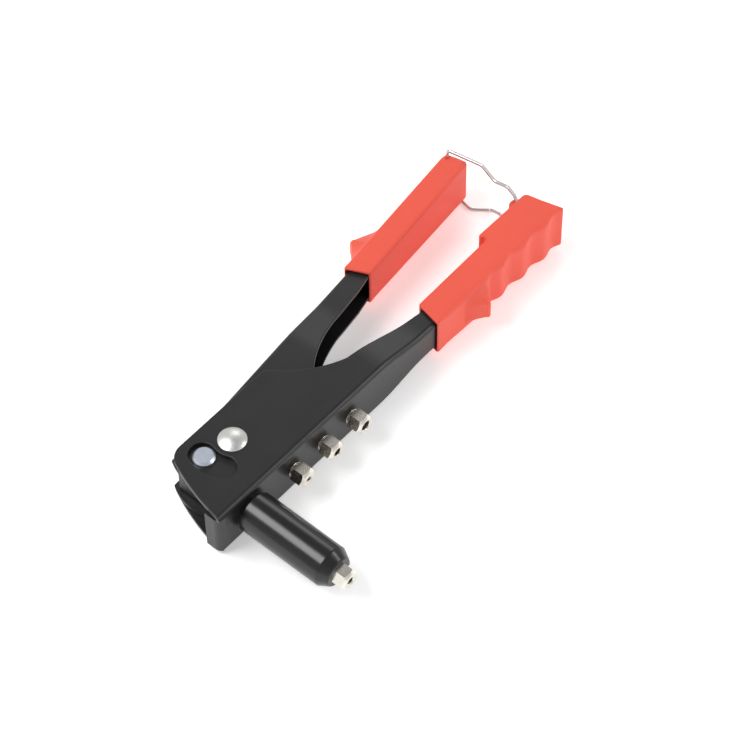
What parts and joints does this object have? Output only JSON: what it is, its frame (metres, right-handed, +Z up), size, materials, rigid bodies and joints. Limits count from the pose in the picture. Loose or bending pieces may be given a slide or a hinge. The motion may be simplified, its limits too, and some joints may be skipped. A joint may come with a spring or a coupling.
{
  "type": "hand riveter",
  "caption": "Hand riveter with two steel channel handles in red vinyl grips, a screwed barrel with nosepiece, spare nosepieces on the web and a wire latch bail.",
  "frame": {"origin": "middle of the tool's box in plan, at its lowest height, with the tool lying on its side, handles latched shut", "axes": "+X along the handles towards their ends, -Y the way the nosepiece points, +Y the way the lever opens, +Z up, along the pivot"},
  "size_m": [0.2348, 0.1224, 0.0316],
  "materials": {
    "black_paint": "gloss black stoved enamel",
    "black_oxide": "black oxide",
    "red_vinyl": "satin moulded vinyl",
    "zinc_plate": "bright zinc plate",
    "nickel_plate": "bright nickel plate",
    "bare_steel": "turned steel",
    "hardened_steel": "hardened steel",
    "spring_steel": "drawn spring wire"
  },
  "bodies": {
    "body": {"body_channel": "black_paint", "fixed_grip": "red_vinyl", "barrel": "black_paint", "barrel_ring_nut": "black_oxide", "nosepiece_fitted": "nickel_plate", "pivot_rivet": "zinc_plate", "nosepiece_spare_1": "nickel_plate", "nosepiece_spare_2": "nickel_plate", "nosepiece_spare_3": "nickel_plate"},
    "lever": {"lever_channel": "black_paint", "lever_grip": "red_vinyl", "pivot_bush": "bare_steel", "pull_pin": "zinc_plate", "pull_pin_circlips": "spring_steel"},
    "puller": {"pull_yoke": "bare_steel", "yoke_locknut": "black_oxide", "jaw_case": "bare_steel", "jaw_spring": "spring_steel"},
    "jaws": {"jaw_1": "hardened_steel", "jaw_2": "hardened_steel", "jaw_3": "hardened_steel", "jaw_pusher": "bare_steel"},
    "bail": {"latch_bail": "spring_steel"}
  },
  "joints": [
    {"name": "handle_pivot", "type": "hinge", "parent": "body", "child": "lever", "pos_m": [-0.08245, 0.02096, 0.01573], "axis": [0, 0, 1], "range_deg": [0, 36]},
    {"name": "jaw_stroke", "type": "slide", "parent": "body", "child": "puller", "axis": [0, -1, 0], "range_m": [0, 0.00923]},
    {"name": "jaw_release", "type": "slide", "parent": "puller", "child": "jaws", "axis": [0, 1, 0], "range_m": [0, 0.00205], "deforming": ["jaw_spring"]},
    {"name": "latch_swing", "type": "hinge", "parent": "body", "child": "bail", "pos_m": [0.10615, 0.01236, 0.01573], "axis": [0, 0, -1], "range_deg": [0, 84]}
  ],
  "couplings": [
    {"joint": "jaw_stroke", "follows": "handle_pivot", "m_per_rad": 0.014536},
    {"joint": "jaw_release", "follows": "handle_pivot", "m_per_rad": 0.003183},
    {"joint": "latch_swing", "follows": "handle_pivot", "ratio": 2.3333}
  ]
}
